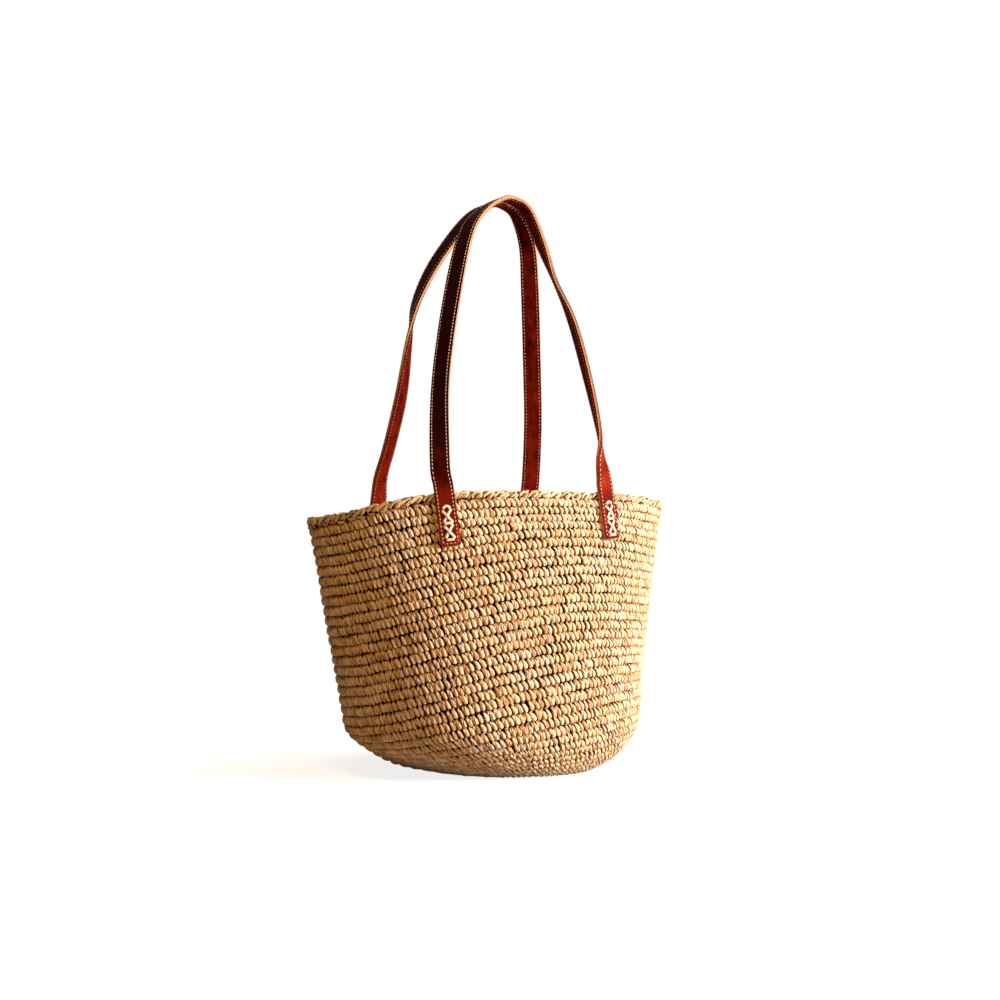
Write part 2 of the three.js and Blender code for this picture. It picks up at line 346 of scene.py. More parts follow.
def onSurface(angle, row):
    # point and outward normal at any angle and round
    count, last = surface.shape[0], surface.shape[1] - 2
    across = (angle / (2 * np.pi) * count) % count
    down = np.clip(row * bag["perRound"], 0, last + 0.999)
    i = np.floor(across).astype(int) % count
    j = np.floor(down).astype(int)
    f = (across - np.floor(across))[..., None]
    g = (down - j)[..., None]
    found = []
    for table in (surface, surfaceOut):
        top = table[i, j] * (1 - f) + table[(i + 1) % count, j] * f
        low = table[i, j + 1] * (1 - f) + table[(i + 1) % count, j + 1] * f
        found.append(top * (1 - g) + low * g)
    lump = bag["lumps"] * (np.sin(3 * angle + 0.31 * row) * np.sin(0.23 * row + 1.3) - 1) / 2
    start, end = bag["lumpRounds"]
    lump = lump * eased(*start, row) * eased(*end, row)
    for out, at, reach, middle, rows in bag["bulges"]:
        lump = lump + out * hump(np.degrees(angle) % 360, at, reach) * hump(row, middle, rows)
    return found[0] + found[1] * lump[..., None], unit(found[1])


def crested(angle, row):
    rows, at, reach = bag["crest"]
    start, end = bag["crestRounds"]
    return row - rows * hump(np.degrees(angle) % 360, at, reach) * eased(*start, row) * eased(*end, row)


def roundOf(row):
    # length of a round, and the angle at any share of it
    ring = surface[:, int(np.clip(row, 0, bag["rounds"]) * bag["perRound"])]
    far = distances(np.concatenate([ring, ring[:1]]))
    angles = np.linspace(0, 2 * np.pi, len(far))
    return far[-1], lambda share: np.interp(share % 1 * far[-1], far, angles)


# Crochet

# each strand is drawn in its stitch's own cell, from top to bottom: across in stitch widths,
# up in round heights, depth in millimetres below the outside, half sizes in millimetres
crochet = {
    "stitchWidth": 4.95,
    "lean": 0.43,  # each round starts this much of a stitch further on
    "waver": 0.07,  # how far a round strays from its line
    "placeStray": 0.05, "slantStray": 0.12, "upStray": 0.025,  # how far single stitches stray
    "swell": (0.1, 0.2, -0.35, 0.5), "wide": (0.98, 0.09, 0.85, 1.25),  # middle, spread and limits
    "slantFrom": 0.5, "crossUntil": 0.55,  # each stitch draws a style, which says what it gets
    "broadStyles": (0.55, 0.7), "broadBy": 1.18,
    "shadeDepth": (1.1, 3.1), "insideShadeDepth": (5.4, 4.4),  # painted shade: where a strand starts to be hidden and darkened, and where it is fully hidden and dark
    "toneRange": (0.42, 0.64), "toneStitches": 9, "toneStray": 0.1,
    "puff": {
        "sides": 7,
        "across": (-0.7, -0.56, -0.37, -0.17, 0.0, 0.1, 0.17, 0.2),
        "up": (0.42, 0.46, 0.4, 0.25, 0.07, -0.12, -0.29, -0.41),
        "depth": (3.3, 2.4, 1.75, 1.2, 0.85, 0.7, 1.05, 3.0),
        "halfWide": (0.6, 0.95, 1.25, 1.65, 2.1, 2.3, 2.1, 1.2),
        "halfThick": (0.45, 0.8, 1.1, 1.45, 1.75, 1.85, 1.6, 0.8),
    },
    "slant": {
        "sides": 6,
        "across": (-0.86, -0.7, -0.56, -0.45, -0.38),
        "up": (0.56, 0.4, 0.2, 0.0, -0.16),
        "depth": (2.4, 0.7, 0.4, 0.8, 2.4),
        "halfWide": (0.45, 0.65, 0.75, 0.65, 0.4),
        "halfThick": (0.4, 0.65, 0.7, 0.6, 0.3),
    },
    "cross": {
        "sides": 6,
        "across": (-0.52, -0.42, -0.26, -0.08, 0.05, 0.12),
        "up": (0.44, 0.36, 0.16, -0.08, -0.27, -0.4),
        "depth": (2.4, 0.6, 0.0, -0.1, 0.4, 2.2),
        "halfWide": (0.5, 0.8, 0.9, 0.9, 0.75, 0.45),
        "halfThick": (0.4, 0.65, 0.75, 0.75, 0.6, 0.35),
    },
    "link": {
        "sides": 5,
        "across": (0.36, 0.55, 0.78, 1.0),
        "up": (0.48, 0.52, 0.52, 0.48),
        "depth": (2.9, 1.9, 1.8, 2.8),
        "halfWide": (0.6, 0.85, 0.85, 0.6),
        "halfThick": (0.5, 0.7, 0.7, 0.5),
    },
    "inside": {
        "sides": 5,
        "across": (-0.66, -0.36, 0.0, 0.36, 0.66),
        "up": (0.16, 0.1, 0.0, -0.1, -0.16),
        "depth": (4.7, 5.5, 5.8, 5.5, 4.7),
        "halfWide": (2.8, 4.3, 4.8, 4.3, 2.8),
        "halfThick": (0.6, 0.95, 1.1, 0.95, 0.6),
    },
    "paintedShading": {"slant": 0.12, "cross": 0.12, "link": -0.2},  # how their shade differs from the puff's: painted shade on the recessed link, painted light on the slant and cross, which lie on top
    "wallPieces": 6, "insidePieces": 2,
    "baseFrom": 31,  # rounds from here on make the base
}


def layStitches(row, kind, varied, wide):
    # one kind of strand for every stitch of a round
    shape = crochet[kind]
    place, count, slant, swell, lift = varied
    steps = len(shape["across"])
    across = wide[:, None] * shape["across"] + slant[:, None] * np.linspace(-0.5, 0.5, steps)
    up = rng.normal(0, crochet["upStray"], (len(place), 1)) + shape["up"] + lift[:, None]
    depth = shape["depth"] - swell[:, None] * np.sin(np.linspace(0, np.pi, steps))
    length, angleAt = roundOf(row + 0.5)
    angle = angleAt((place[:, None] + across) / count)
    points, normals = onSurface(angle, crested(angle, row + 0.5 - up))
    paths = points - normals * depth[..., None]
    scale = wide[:, None] * length / count / crochet["stitchWidth"]
    halfWide = scale * shape["halfWide"]
    halfThick = np.broadcast_to(shape["halfThick"], depth.shape)
    # painted shade: the deeper a strand lies under the outside, the darker it is painted
    tuck = eased(*crochet["shadeDepth"], depth)
    if kind == "inside":
        normals = -normals
        halfWide = np.broadcast_to(shape["halfWide"], depth.shape)
        tuck = eased(*crochet["insideShadeDepth"], depth)
    return angle.mean(1), paths, normals, halfWide, halfThick, tuck


def drawn(sizes, shape):  # random sizes: their middle, spread and limits
    middle, spread, low, high = sizes
    return rng.normal(middle, spread, shape).clip(low, high)


def roundTones(count):
    # one strand of raffia runs through many stitches, so its shade drifts along the round
    knots = rng.uniform(*crochet["toneRange"], max(3, count // crochet["toneStitches"]))
    drift = np.interp(np.arange(count) / count * len(knots), np.arange(len(knots) + 1), [*knots, knots[0]])
    return np.clip(drift + rng.normal(0, crochet["toneStray"], count), 0, 1)


def crochetBody():
    # strands of all rounds, sorted into the pieces they belong to
    found = {}
    for row in range(1, bag["rounds"]):
        length, _ = roundOf(row + 0.5)
        count = max(6, round(length / crochet["stitchWidth"]))
        place = np.arange(count) + crochet["lean"] * row + rng.normal(0, crochet["placeStray"], count)
        slant = rng.normal(0, crochet["slantStray"], count)
        swell = drawn(crochet["swell"], count)
        bends = rng.uniform(0, 2 * np.pi, 2)
        turn = place / count * 2 * np.pi
        lift = crochet["waver"] * (np.sin(7 * turn + bends[0]) + np.sin(17 * turn + bends[1])) / 2
        varied = (place, count, slant, swell, lift)
        tone = roundTones(count)
        style = rng.random(count)
        low, high = crochet["broadStyles"]
        broad = np.where((style > low) & (style < high), crochet["broadBy"], 1.0)
        kept = {"slant": style > crochet["slantFrom"], "cross": style < crochet["crossUntil"]}
        for kind in ("puff", "slant", "cross", "link", "inside"):
            wide = drawn(crochet["wide"], count)
            if kind == "puff":
                wide = wide * broad
            keep = kept.get(kind, np.ones(count, bool))
            laid = layStitches(row, kind, varied, wide)
            sector = (laid[0] % (2 * np.pi) / (2 * np.pi) * crochet["wallPieces"]).astype(int)
            for part in np.unique(sector):
                if kind == "inside":
                    half = part * crochet["insidePieces"] // crochet["wallPieces"]
                    name = f"raffia_inside_{half + 1}"
                elif row >= crochet["baseFrom"]:
                    name = "raffia_base_rounds"
                else:
                    name = f"raffia_wall_{part + 1}"
                chosen = (sector == part) & keep
                shade = np.clip(tone + crochet["paintedShading"].get(kind, 0.0), 0, 1)[chosen]
                group = found.setdefault(name, {}).setdefault(kind, [])
                group.append([*(values[chosen] for values in laid[1:]), shade])
    return found


def addCrochet(found, finish):
    pieces = {}
    for name in sorted(found):
        parts = []
        for kind, groups in found[name].items():
            joined = [np.concatenate(values) for values in zip(*groups)]
            paths, normals, halfWide, halfThick, tuck, tone = joined
            sides = crochet[kind]["sides"]
            # flank 1.0: the underside of every stitch gets the full painted shade
            parts.append(strands(paths, normals, halfWide, halfThick, sides, tone, tuck, 1.0))
        pieces[name] = addPiece(name, parts, finish)
    return pieces


cloth = {
    "depth": (3.9, 5.0), "tuck": (1.0, 0.4),  # of its outer face and its inner one; the painted shade is black on the outer face and brown on the inner
    "firstRound": 0.15, "shortOfMiddle": 0.4, "rows": 84, "around": 180,
    "tone": 0.2, "fibreScale": 0.6,
}


def coreShell(finish):
    # the dense body of the fabric, seen only in the gaps between the stitches and painted dark there as shade
    rows = np.linspace(cloth["firstRound"], bag["rounds"] - cloth["shortOfMiddle"], cloth["rows"])
    angles = np.linspace(0, 2 * np.pi, cloth["around"], endpoint=False)
    angle, row = np.meshgrid(angles, rows, indexing="ij")
    points, normals = onSurface(angle, row)
    outer, inner = cloth["depth"]
    rings = np.concatenate([points - normals * outer, (points - normals * inner)[:, ::-1]], 1)
    around, down = rings.shape[:2]
    index = np.arange(around * down).reshape(around, down)
    beside = np.roll(index, -1, 0)
    last = len(rows) - 1
    steps = [j for j in range(down) if j != last]
    after = [(j + 1) % down for j in steps]
    quads = np.stack([index[:, steps], index[:, after], beside[:, after], beside[:, steps]], -1)
    count = around * down
    return addPiece("raffia_core", [{
        "points": rings.reshape(-1, 3),
        "corners": np.concatenate([quads.ravel(), index[::-1, last], index[:, last + 1]]),
        "sizes": np.array([4] * (quads.size // 4) + [around] * 2),
        "values": {
            "fibre": rings.reshape(-1, 3) * cloth["fibreScale"],
            "tone": np.full(count, cloth["tone"]),
            "tuck": np.tile(np.repeat(cloth["tuck"], len(rows)), around),
        },
    }], finish)


# the rim's strands in their loop's own cell: across in loop widths, up from the edge and out from
# the wall's outside in millimetres; over and back lie on top of the edge, the others on its two faces
braid = {
    "loopWidth": 10.5,
    "loop": {
        "across": (-0.2, 0.14, 0.38, 0.44, 0.32, -0.06, -0.36, -0.44, -0.34),
        "up": (-7.0, -5.8, -3.6, -2.4, -1.6, -2.0, -4.2, -5.8, -6.8),
        "out": (-2.0, -0.5, -0.3, -0.8, -0.9, -0.6, -0.3, -0.5, -1.8),
        "half": (0.8, 1.35, 1.4, 1.4, 1.4, 1.45, 1.4, 1.2, 0.8),
    },
    "heart": {
        "across": (-0.32, -0.14, 0.1, 0.34),
        "up": (-6.4, -5.0, -3.6, -2.6),
        "out": (-1.9, -1.2, -1.0, -1.7),
        "half": (0.6, 0.9, 0.9, 0.6),
    },
    "step": {
        "across": (0.1, 0.28, 0.48, 0.66, 0.8),
        "up": (-8.4, -6.6, -4.6, -3.4, -3.6),
        "out": (-2.2, -1.0, -0.6, -1.2, -2.6),
        "half": (0.7, 1.1, 1.2, 1.1, 0.7),
    },
    "under": {
        "across": (-0.62, -0.32, 0.0, 0.32, 0.62),
        "up": (-8.6, -8.0, -8.6, -9.0, -8.6),
        "out": (-2.2, -1.5, -1.2, -1.5, -2.2),
        "half": (0.9, 1.3, 1.4, 1.3, 0.9),
    },
    "over": {
        "across": (0.22, 0.34, 0.5, 0.62, 0.74),
        "up": (-3.4, -1.9, -1.4, -1.9, -3.6),
        "out": (-1.2, -1.7, -3.4, -5.2, -6.2),
        "half": (0.8, 1.3, 1.4, 1.3, 0.8),
    },
    "back": {
        "across": (-0.34, -0.16, 0.05, 0.24, 0.36),
        "up": (-3.6, -2.2, -1.8, -2.2, -3.8),
        "out": (-2.0, -2.6, -3.8, -5.2, -6.0),
        "half": (0.8, 1.3, 1.5, 1.3, 0.8),
    },
    "inner": {
        "across": (-0.6, -0.34, 0.0, 0.36, 0.6),
        "up": (-8.6, -4.6, -3.0, -4.6, -8.6),
        "out": (-4.8, -6.0, -6.2, -6.0, -4.8),
        "half": (0.9, 1.5, 1.6, 1.5, 0.9),
    },
    "wander": 0.45,  # millimetres that a strand strays
    "placeStray": 0.08, "widthStray": 0.12, "acrossRough": 0.03,  # in loop widths
    "upRough": 0.25, "highest": -0.8,
    # flank is the share of the painted shade that the undersides of the braid's strands get
    "girth": (1.0, 0.1, 0.8, 1.2), "flat": 0.8, "sides": 6, "flank": 0.8,
    "outsideShade": (-0.7, -2.6), "insideShade": (-5.6, -8.6),  # painted shade from seen to hidden, by out and by up
}


def addRimBraid(finish):
    # worked backwards along the edge, so that each loop wraps over the one before
    length, angleAt = roundOf(0.0)
    count = round(length / braid["loopWidth"])
    parts = []
    for kind in ("loop", "heart", "step", "under", "over", "back", "inner"):
        shape = braid[kind]
        place = np.arange(count) + rng.normal(0, braid["placeStray"], count)
        steps = len(shape["across"])
        across = rng.normal(1.0, braid["widthStray"], (count, 1)) * shape["across"]
        across = across + rng.normal(0, braid["acrossRough"], (count, steps))
        angle = angleAt((place[:, None] + across) / count)
        points, normals = onSurface(angle, 0 * angle)
        out = rng.normal(0, braid["wander"] / 2, (count, 1)) + shape["out"]
        up = rng.normal(0, braid["wander"], (count, 1)) + shape["up"]
        up = up + rng.normal(0, braid["upRough"], (count, steps))
        paths = points + normals * out[..., None]
        paths[..., 2] += np.minimum(up, braid["highest"])
        faced = {"over": (0, 0, 1), "back": (0, 0, 1), "inner": -normals}.get(kind, normals)
        half = drawn(braid["girth"], (count, 1)) * shape["half"]
        outside = kind in ("loop", "heart", "step", "under")
        # painted shade on the stretches that go out of sight
        tuck = eased(*braid["outsideShade"], out) if outside else eased(*braid["insideShade"], up)
        parts.append(strands(paths, faced + 0 * paths, half, half * braid["flat"], braid["sides"],
                             roundTones(count), tuck, braid["flank"]))
    return addPiece("raffia_rim_braid", parts, finish)


# Raffia finish

raffiaLook = {
    "shades": [(0.0, tint(216, 162, 90)), (0.5, tint(245, 215, 162)), (1.0, tint(255, 245, 217))],
    # the crease colour is painted shade, along the folds of every strand and on its hidden sides
    "creaseShade": tint(154, 82, 14),
    # the gap colour is painted black shade, where strands go out of sight
    "gap": tint(8, 2, 0),
    "streakScale": (0.07, 1.5, 0.37), "creaseScale": (0.05, 0.9, 0.61),  # long along the strand
    "creaseAt": (0.49, 0.41), "creaseShare": 0.7,
    "sideShadeAt": (0.0, 0.6), "sideShadeShare": 0.85,  # painted shade: brown on the sides, before the painted black of the gap
    "gapAt": (0.36, 0.82),
}


def raffiaFinish(look):
    material, wire, shader = newFinish("raffia")
    fibre, tone, tuck = strandValues(wire)
    streak = fibre.scaled(look["streakScale"]).noise(1.0, 3.0, 0.6)
    creaseShade = fibre.scaled(look["creaseScale"]).noise(1.0, 1.0, 0.4).between(*look["creaseAt"])
    shade = (tone * 0.75 + streak * 0.8 - 0.27).ramp(look["shades"])
    # painted shade: the crease colour along fold lines and on hidden sides, then black in the gaps
    shade = wire.mix(creaseShade * look["creaseShare"], shade, look["creaseShade"])
    shade = wire.mix(tuck.between(*look["sideShadeAt"]) * look["sideShadeShare"], shade, look["creaseShade"])
    shade = wire.mix(tuck.between(*look["gapAt"]), shade, look["gap"])
    height = streak * 0.6 - creaseShade * 0.5
    bump = wire.add("Bump", {}, {"Strength": 0.8, "Distance": 0.0006, "Height": height})
    feed(shader, {"Base Color": shade, "Roughness": 0.42 + streak * 0.2, "Normal": bump,
                  "Specular IOR Level": 0.04})
    return material


raffia = raffiaFinish(raffiaLook)
crochetPieces = addCrochet(crochetBody(), raffia)
core = coreShell(raffia)
rimPiece = addRimBraid(raffia)
for piece in (*crochetPieces.values(), core, rimPiece):
    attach(piece, "bag")
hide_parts("raffia_wall")
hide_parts("raffia_base")
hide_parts("raffia_rim")
print("crochet made:", len(crochetPieces), "pieces")


# Leather straps

strap = {
    "width": 17.5, "thickness": 3.6, "seam": 1.6,  # the lining ends and the outer leather starts here
    "tabCorner": 2, "hingeRise": 6, "footRise": 20, "seatGap": 0.3,
    "handleHeight": 280.5, "spacing": 5, "archFlat": 11, "archTurnDegrees": 10,
    "step": 1.4, "faceColumns": 13, "backEvery": 6, "knotSteps": 24, "tabSteps": 40,
    "layerGap": 0.04, "cutEnd": 0.2,  # half the seam's gap, and how much of an end is raw
    "edgeRound": 0.9, "edgeTurns": (25, 55, 90), "rawness": (0.0, 0.3, 0.6), "seamDent": 0.35,
    "threadInset": 2.2, "groove": 0.25, "grooveHalf": 0.5,
}
slackTab = {"length": 48.5, "tiltDegrees": 1.5, "laceInset": 15}
tautTab = {"length": 43, "tiltDegrees": 12, "laceInset": 11.5}

# knots of a leg from foot to top: share of the way, bow to the right, share of the tab's facing left
handles = {
    "front": {
        "face": -1, "lean": 16, "tabSpacing": 75,
        "left": {
            "tab": slackTab, "footFacing": 0.9,
            "knots": [(0.3, -21, 0.55), (0.5, -28, 0.5), (0.73, -32, 0.5), (0.885, -30.5, 0.35),
                      (0.96, -20, 0.1)],
        },
        "right": {
            "tab": tautTab, "footFacing": 0.75,
            "knots": [(0.18, 12, 0.37), (0.36, 18.5, 0.2), (0.56, 22.5, 0.2), (0.71, 19.5, 0.36),
                      (0.835, 18.5, 0.1), (0.96, 15.5, 0)],
        },
    },
    "back": {
        "face": 1, "lean": 20, "tabSpacing": 77,
        "left": {
            "tab": tautTab, "footFacing": 0.85,
            "knots": [(0.18, -10, 0.79), (0.355, -19, 0.76), (0.54, -33, 0.48), (0.66, -41, 0.07),
                      (0.78, -39.5, -0.15), (0.895, -30.5, -0.2), (0.97, -20.5, -0.08)],
        },
        "right": {
            "tab": slackTab, "footFacing": 1,
            "knots": [(0.27, 12.5, 0.85), (0.505, 18, 0.8), (0.72, 22.5, 0.75), (0.875, 24, 0.5),
                      (0.97, 16, 0.1)],
        },
    },
}


def tabFrame(handle, side):
    # where a tab lies on the wall: its origin at the rim, then up it, out of the wall and across it
    tab = handle["left" if side < 0 else "right"]["tab"]
    tilt = math.radians(tab["tiltDegrees"])
    reach = math.acos(handle["tabSpacing"] / bag["rimHalfWidth"])
    angle = handle["face"] * (reach if side > 0 else math.pi - reach)

    def along(at):
        near, far = [wallPoint(np.array(at + nudge), tab["length"] / 2) for nudge in (-0.001, 0.001)]
        return (far - near) / 0.002

    turned = tab["length"] * math.sin(tilt) / np.linalg.norm(along(angle))
    origin = wallPoint(np.array(angle), 0)
    up = unit(origin - wallPoint(np.array(angle + turned), tab["length"] * math.cos(tilt)))
    out = unit(np.cross(along(angle + turned / 2), up))
    return origin, up, out, np.cross(up, out)


def turnedAbout(vectors, axes, angles):
    c, s = np.cos(angles)[:, None], np.sin(angles)[:, None]
    dot = (vectors * axes).sum(-1, keepdims=True)
    return vectors * c + np.cross(axes, vectors) * s + axes * dot * (1 - c)


def splineThrough(knots, steps):
    # a smooth line through rows of numbers
    padded = np.vstack([2 * knots[0] - knots[1], knots, 2 * knots[-1] - knots[-2]])
    t = np.linspace(0, 1, steps, endpoint=False)[:, None]
    spans = []
    for a, b, c, d in zip(padded, padded[1:], padded[2:], padded[3:]):
        leave, arrive = (c - a) / 2, (d - b) / 2
        spans.append(b + t * leave + t ** 2 * (3 * (c - b) - 2 * leave - arrive)
                     + t ** 3 * (2 * (b - c) + leave + arrive))
    return np.vstack([*spans, knots[-1:]])


def legKnots(handle, side, top, across, rod):
    # rows of x, y, z and turn from the foot to the top
    leg = handle["left" if side < 0 else "right"]
    origin, up, out, _ = tabFrame(handle, side)
    foot = origin + up * (strap["hingeRise"] + strap["seatGap"]) + out * strap["seatGap"]
    arch = unit(np.cross(rod, up) * side)
    turn = -side * math.atan2(np.dot(np.cross(arch, out), up), np.dot(arch, out))
    rows = [(*foot, turn), (*(foot + up * strap["footRise"]), turn * leg["footFacing"])]
    for share, bow, facing in leg["knots"]:
        rows.append((*(foot + (top - foot) * share + (bow, 0, 0)), turn * facing))
    rows.append((*(top + across * side * strap["archFlat"] / 2), 0))
    return np.array(rows)


def strapLine(name):
    # the whole strap from its left tab over the top to its right tab, at even steps
    handle = handles[name]
    arch = math.radians(strap["archTurnDegrees"])
    across = np.array([math.cos(arch), math.sin(arch), 0])
    rod = np.array([-math.sin(arch), math.cos(arch), 0])
    top = np.array([handle["lean"], 0, bag["wallHeight"] + strap["handleHeight"] - strap["thickness"]])
    top = top + rod * handle["face"] * (strap["width"] + strap["spacing"]) / 2
    left, right = [legKnots(handle, side, top, across, rod) for side in (-1, 1)]
    free = splineThrough(np.vstack([left, right[::-1]]), strap["knotSteps"])
    travel = unit(np.gradient(free[:, :3], axis=0))
    normals = turnedAbout(unit(np.cross(travel, rod)), travel, free[:, 3])
    ends = []
    for side, key in ((-1, "left"), (1, "right")):
        origin, up, out, _ = tabFrame(handle, side)
        low = np.linspace(-handle[key]["tab"]["length"], strap["hingeRise"], strap["tabSteps"])[::-side, None]
        ends.append((origin + up * low + out * strap["seatGap"], np.tile(out, (strap["tabSteps"], 1))))
    points = np.concatenate([ends[0][0], free[:, :3], ends[1][0]])
    normals = np.concatenate([ends[0][1], normals, ends[1][1]])
    far = distances(points)
    length = far[-1]
    along = np.linspace(0, length, round(length / strap["step"]) + 1)
    points, normals = [lookUp(along, far, rows) for rows in (points, normals)]
    travel = unit(np.gradient(points, axis=0))
    normals = unit(normals - travel * (normals * travel).sum(-1, keepdims=True))
    return {"length": length, "along": along, "points": points, "normals": normals,
            "widths": np.cross(travel, normals)}


def onStrap(line, along, across, depth):
    # a point of the strap: along it, across it in half widths, and out from the lining's face
    keys = ("points", "normals", "widths")
    point, normal, width = [lookUp(along, line["along"], line[key]) for key in keys]
    normal = unit(normal)
    return point + width * (across * strap["width"] / 2)[..., None] + normal * depth[..., None], normal


def strapLayer(line, near, far):
    # one layer of leather as a closed strip with rounded edges and a groove under the thread
    half = strap["width"] / 2
    cut = strap["edgeRound"]
    outward = 1 if far > strap["seam"] else -1  # the side of this layer that shows
    seen, hidden = (far, near) if outward > 0 else (near, far)
    inset = half - strap["threadInset"]
    reach = strap["grooveHalf"]
    face = np.linspace(half - cut, cut - half, strap["faceColumns"])
    face = np.sort(np.concatenate([face, [inset - reach, inset, inset + reach],
                                   [-inset - reach, -inset, reach - inset]]))[::-1]
    seamLine = np.clip(1 - np.abs(np.abs(face) - inset) / reach, 0, 1)
    turns = np.radians(strap["edgeTurns"])
    bend = half - cut * (1 - np.sin(turns))
    bendDepth = seen - outward * cut * (1 - np.cos(turns))
    dent = half - strap["seamDent"]
    back = -face[::strap["backEvery"]]
    flank = hidden + outward * strap["seamDent"]
    across = np.concatenate([face, -bend, [-half, -dent], back, [dent, half], bend[::-1]]) / half
    depth = np.concatenate([seen - strap["groove"] * seamLine * outward, bendDepth, [flank, hidden],
                            hidden + 0 * back, [hidden, flank], bendDepth[::-1]])
    raw = np.array(strap["rawness"])
    edge = np.concatenate([0 * face, raw, [1, 1], 1 + 0 * back, [1, 1], raw[::-1]])
    sewn = np.concatenate([seamLine, np.zeros(len(across) - len(face))])
    if outward < 0:
        across, depth, edge, sewn = across[::-1], depth[::-1], edge[::-1], sewn[::-1]

    ends = np.minimum(line["along"], line["length"] - line["along"])
    corner = strap["tabCorner"]
    trim = corner - np.sqrt(np.clip(corner ** 2 - np.clip(corner - ends, 0, corner) ** 2, 0, None))
    narrow = 1 - trim / half
    along = np.repeat(line["along"][:, None], len(across), 1)
    spread = across * narrow[:, None]
    out = depth + 0 * along
    points, _ = onStrap(line, along, spread, out)

    count, around = along.shape
    index = np.arange(count * around).reshape(count, around)
    beside = np.roll(index, -1, 1)
    quads = np.stack([index[:-1], beside[:-1], beside[1:], index[1:]], -1)
    toEnd = np.repeat(ends[:, None], around, 1)
    return {
        "points": points.reshape(-1, 3),
        "corners": np.concatenate([quads.ravel(), index[0, ::-1], index[-1]]),
        "sizes": np.array([4] * (quads.size // 4) + [around] * 2),
        "values": {
            "leatherMap": np.stack([along, spread * half, out], -1).reshape(-1, 3),
            "rawEdge": np.maximum(np.tile(edge, (count, 1)), (toEnd < strap["cutEnd"]) * 1.0).ravel(),
            "fromTab": toEnd.ravel(),
            "sewn": np.tile(sewn, (count, 1)).ravel(),
        },
    }


thread = {
    "pitch": 3.4, "length": 1.7, "halfThick": 0.42, "flat": 0.85, "sides": 6, "endInset": 3.0,
    "tuck": (0.05, -0.4),  # painted shade from seen to hidden, by height above the leather
    "facePale": (0.45, 1.0), "liningPale": (-0.5, -0.1),  # the thread on the lining face is darker than on the outer face
    "reach": (-0.5, -0.42, 0.0, 0.42, 0.5),
    "proud": (-0.45, 0.05, 0.22, 0.05, -0.45),
}


def threadRows(line):
    # running stitches along both edges and across both ends, on both faces
    parts = []
    half = strap["width"] / 2
    inset = 1 - strap["threadInset"] / half
    reach = np.array(thread["reach"]) * thread["length"]
    inner = line["length"] - 2 * thread["endInset"]
    many = round(inner / thread["pitch"])
    few = round(2 * inset * half / thread["pitch"]) - 1
    along = (thread["endInset"] + (np.arange(many) + 0.5) * inner / many)[:, None] + reach
    across = ((np.arange(few) + 1) / (few + 1) * 2 * inset - inset)[:, None] + reach / half
    for sign in (1, -1):
        for edge in (-inset, inset):
            parts.append(threadRow(line, along, edge + 0 * along, sign))
        for end in (thread["endInset"], line["length"] - thread["endInset"]):
            parts.append(threadRow(line, end + 0 * across, across, sign))
    return parts


def threadRow(line, along, across, sign):
    proud = np.array(thread["proud"]) + 0 * along
    face = strap["thickness"] if sign > 0 else 0.0
    paths, normals = onStrap(line, along, across, face + sign * proud)
    half = np.full(paths.shape[:2], thread["halfThick"])
    tone = rng.uniform(*thread["facePale" if sign > 0 else "liningPale"], len(paths))
    # painted shade where the thread dips into the leather
    tuck = eased(*thread["tuck"], proud)
    return strands(paths, normals * sign, half, half * thread["flat"], thread["sides"], tone, tuck)


leather = {
    "outer": {
        "shades": [(0.0, tint(38, 3, 1)), (0.5, tint(116, 25, 7)), (1.0, tint(200, 80, 24))],
        "roughness": 0.5, "level": -0.39, "mottle": 0.8, "warm": 0.3,
        "shadedLeg": 0.48,  # painted shade: the left leg of the outer leather is painted darker, as a leg turned from the light
    },
    "lining": {
        "shades": [(0.0, tint(62, 6, 2)), (0.5, tint(138, 30, 9)), (1.0, tint(190, 72, 28))],
        "roughness": 0.62, "level": -0.72, "mottle": 1.4, "warm": 0.12, "shadedLeg": 0.0,
    },
    "edge": [(0.0, tint(150, 100, 62)), (0.5, tint(206, 154, 106)), (1.0, tint(236, 196, 150))],
    "edgeWornFrom": (230, 290),
    "needleLine": tint(34, 5, 3),
    "warmUntil": 60,  # near the tabs the leather keeps its first, warmer colour
    "darkFrom": 210,  # towards the top it is darkened by hands
    "shadedLegFrom": (26, 72), "shadedLegUntil": (400, 300),  # millimetres along the strap
    "stainShare": 0.4, "scratchShare": 0.08, "needleShare": 0.85,
}


